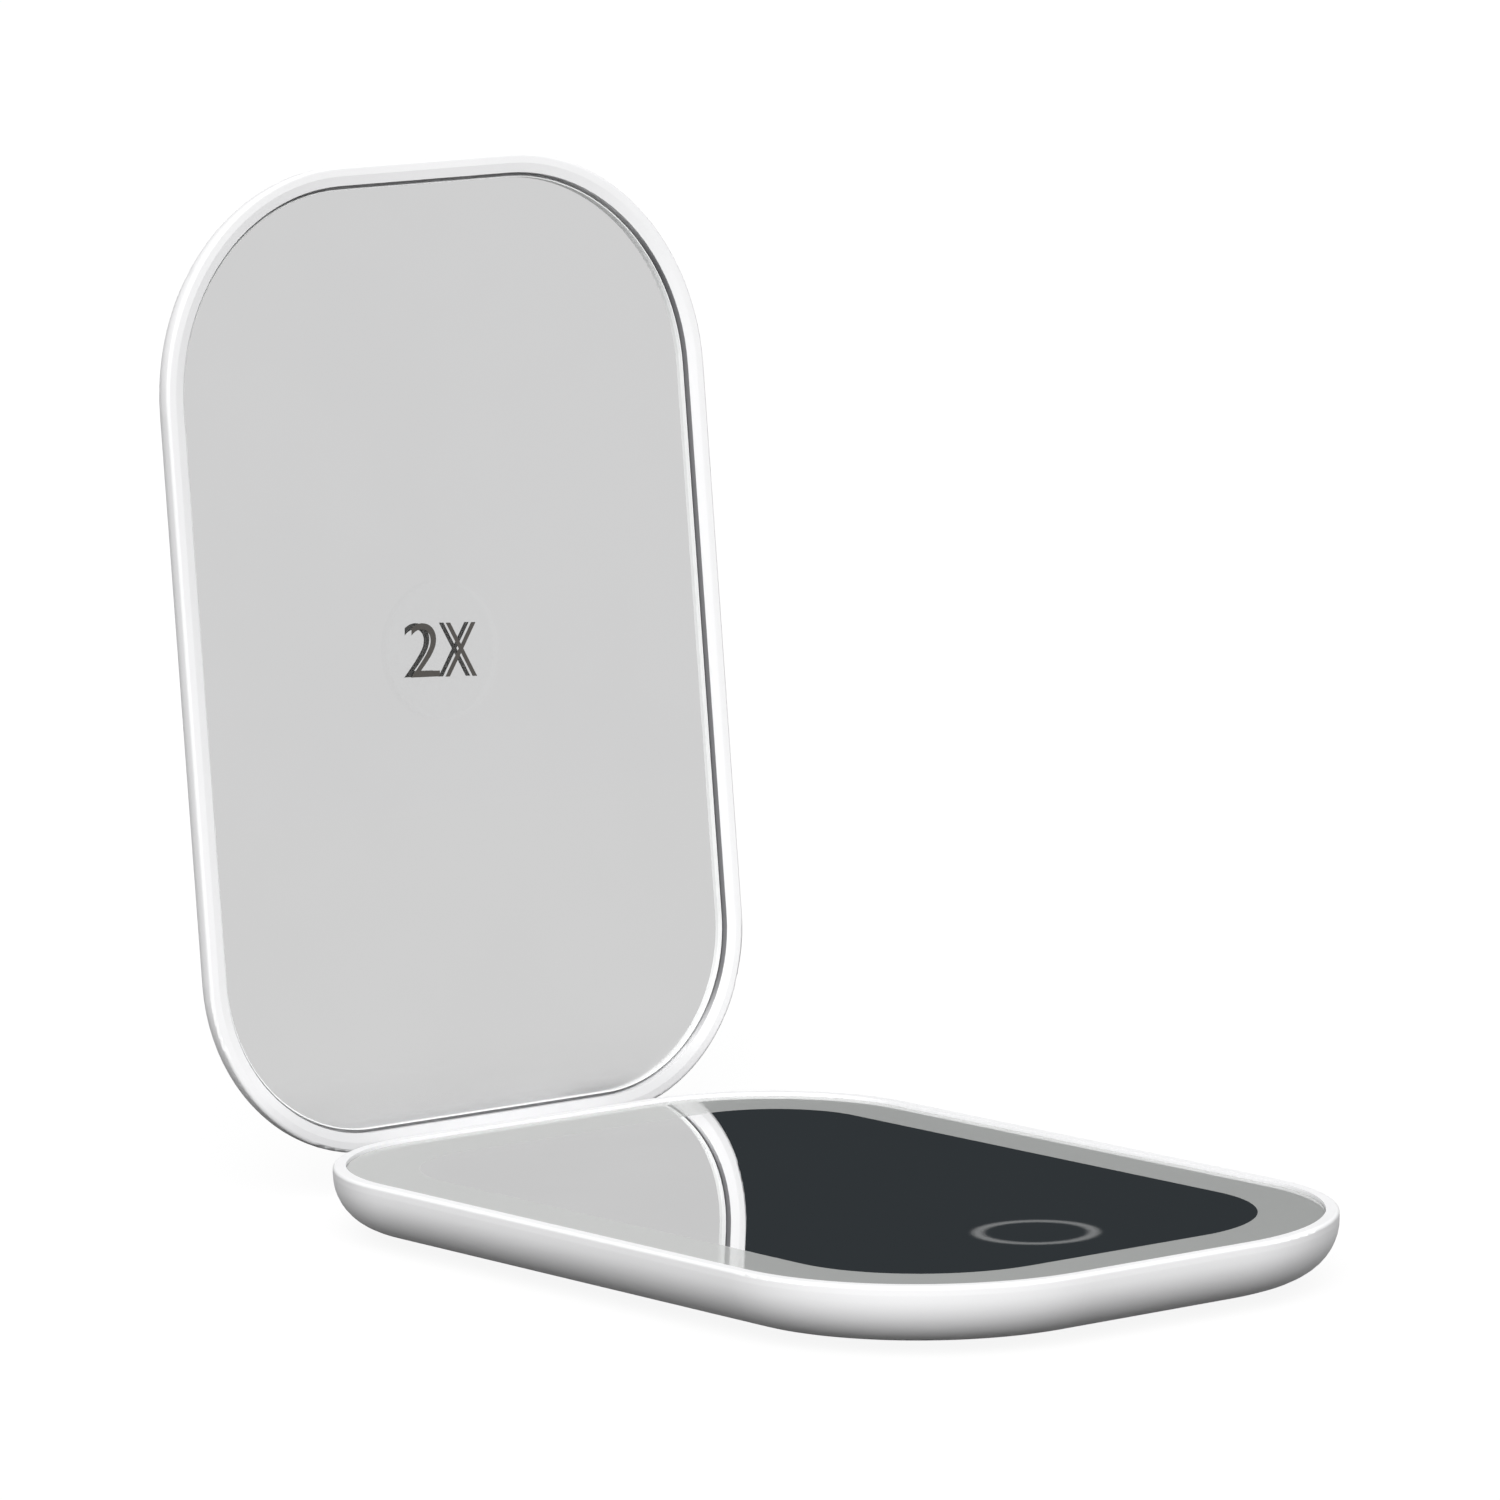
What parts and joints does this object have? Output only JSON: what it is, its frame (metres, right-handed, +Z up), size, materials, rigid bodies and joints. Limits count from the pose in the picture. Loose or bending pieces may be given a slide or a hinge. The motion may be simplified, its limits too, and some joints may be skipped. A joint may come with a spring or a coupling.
{
  "type": "lighted compact mirror",
  "caption": "Pocket mirror of equal rounded leaves on a friction hinge: a plain mirror with a frosted light band and touch mark in the base, a magnifying mirror in the lid.",
  "frame": {"origin": "middle of the flat foot under the base, where it rests on a table", "axes": "+X to the right of someone looking into the open mirror, +Y from the free end of the base to the hinge, +Z up"},
  "size_m": [0.07, 0.1208, 0.1069],
  "materials": {
    "shell_plastic": "satin gloss, moulded",
    "bezel_plastic": "gloss, moulded",
    "frame_plastic": "moulded",
    "base_glass": "silvered, with a frosted band",
    "lid_glass": "silvered, slightly curved reflection",
    "black_tape": "adhesive film",
    "guide_acrylic": "clear acrylic",
    "reflector_film": "white film",
    "strip_polyimide": "flexible circuit",
    "led_body": "phosphor filled",
    "board_laminate": "solder resist",
    "chip_epoxy": "moulded",
    "connector_nylon": "moulded",
    "socket_steel": "plated sheet steel",
    "pad_copper": "copper foil",
    "spring_steel": "plated",
    "battery_foil": "laminated foil pouch",
    "foam_tape": "double sided tape",
    "lead_sleeving": "insulated wire",
    "magnet_nickel": "nickel plated",
    "screw_steel": "plated",
    "pin_steel": "ground",
    "sticker_film": "clear film",
    "sleeve_steel": "spring steel"
  },
  "bodies": {
    "base": {"base_shell": "shell_plastic", "light_frame": "frame_plastic", "base_mirror": "base_glass", "glass_tape": "black_tape", "light_guide": "guide_acrylic", "reflector_sheet": "reflector_film", "led_strip": "strip_polyimide", "leds": "led_body", "main_board": "board_laminate", "board_chips": "chip_epoxy", "strip_connector": "connector_nylon", "charge_socket": "socket_steel", "touch_pad": "pad_copper", "touch_spring": "spring_steel", "battery": "battery_foil", "battery_pad": "foam_tape", "battery_leads": "lead_sleeving", "base_magnets": "magnet_nickel", "frame_screws": "screw_steel", "board_screws": "screw_steel", "hinge_pin": "pin_steel"},
    "lid": {"lid_shell": "shell_plastic", "lid_bezel": "bezel_plastic", "lid_mirror": "lid_glass", "power_sticker": "sticker_film", "lid_tape": "black_tape", "lid_magnets": "magnet_nickel", "lid_screws": "screw_steel", "friction_sleeve": "sleeve_steel"}
  },
  "joints": [
    {"name": "lid_hinge", "type": "hinge", "parent": "base", "child": "lid", "pos_m": [0, 0.0527, 0.0038], "axis": [-1, 0, 0], "range_deg": [-95.2, 14.8]}
  ]
}
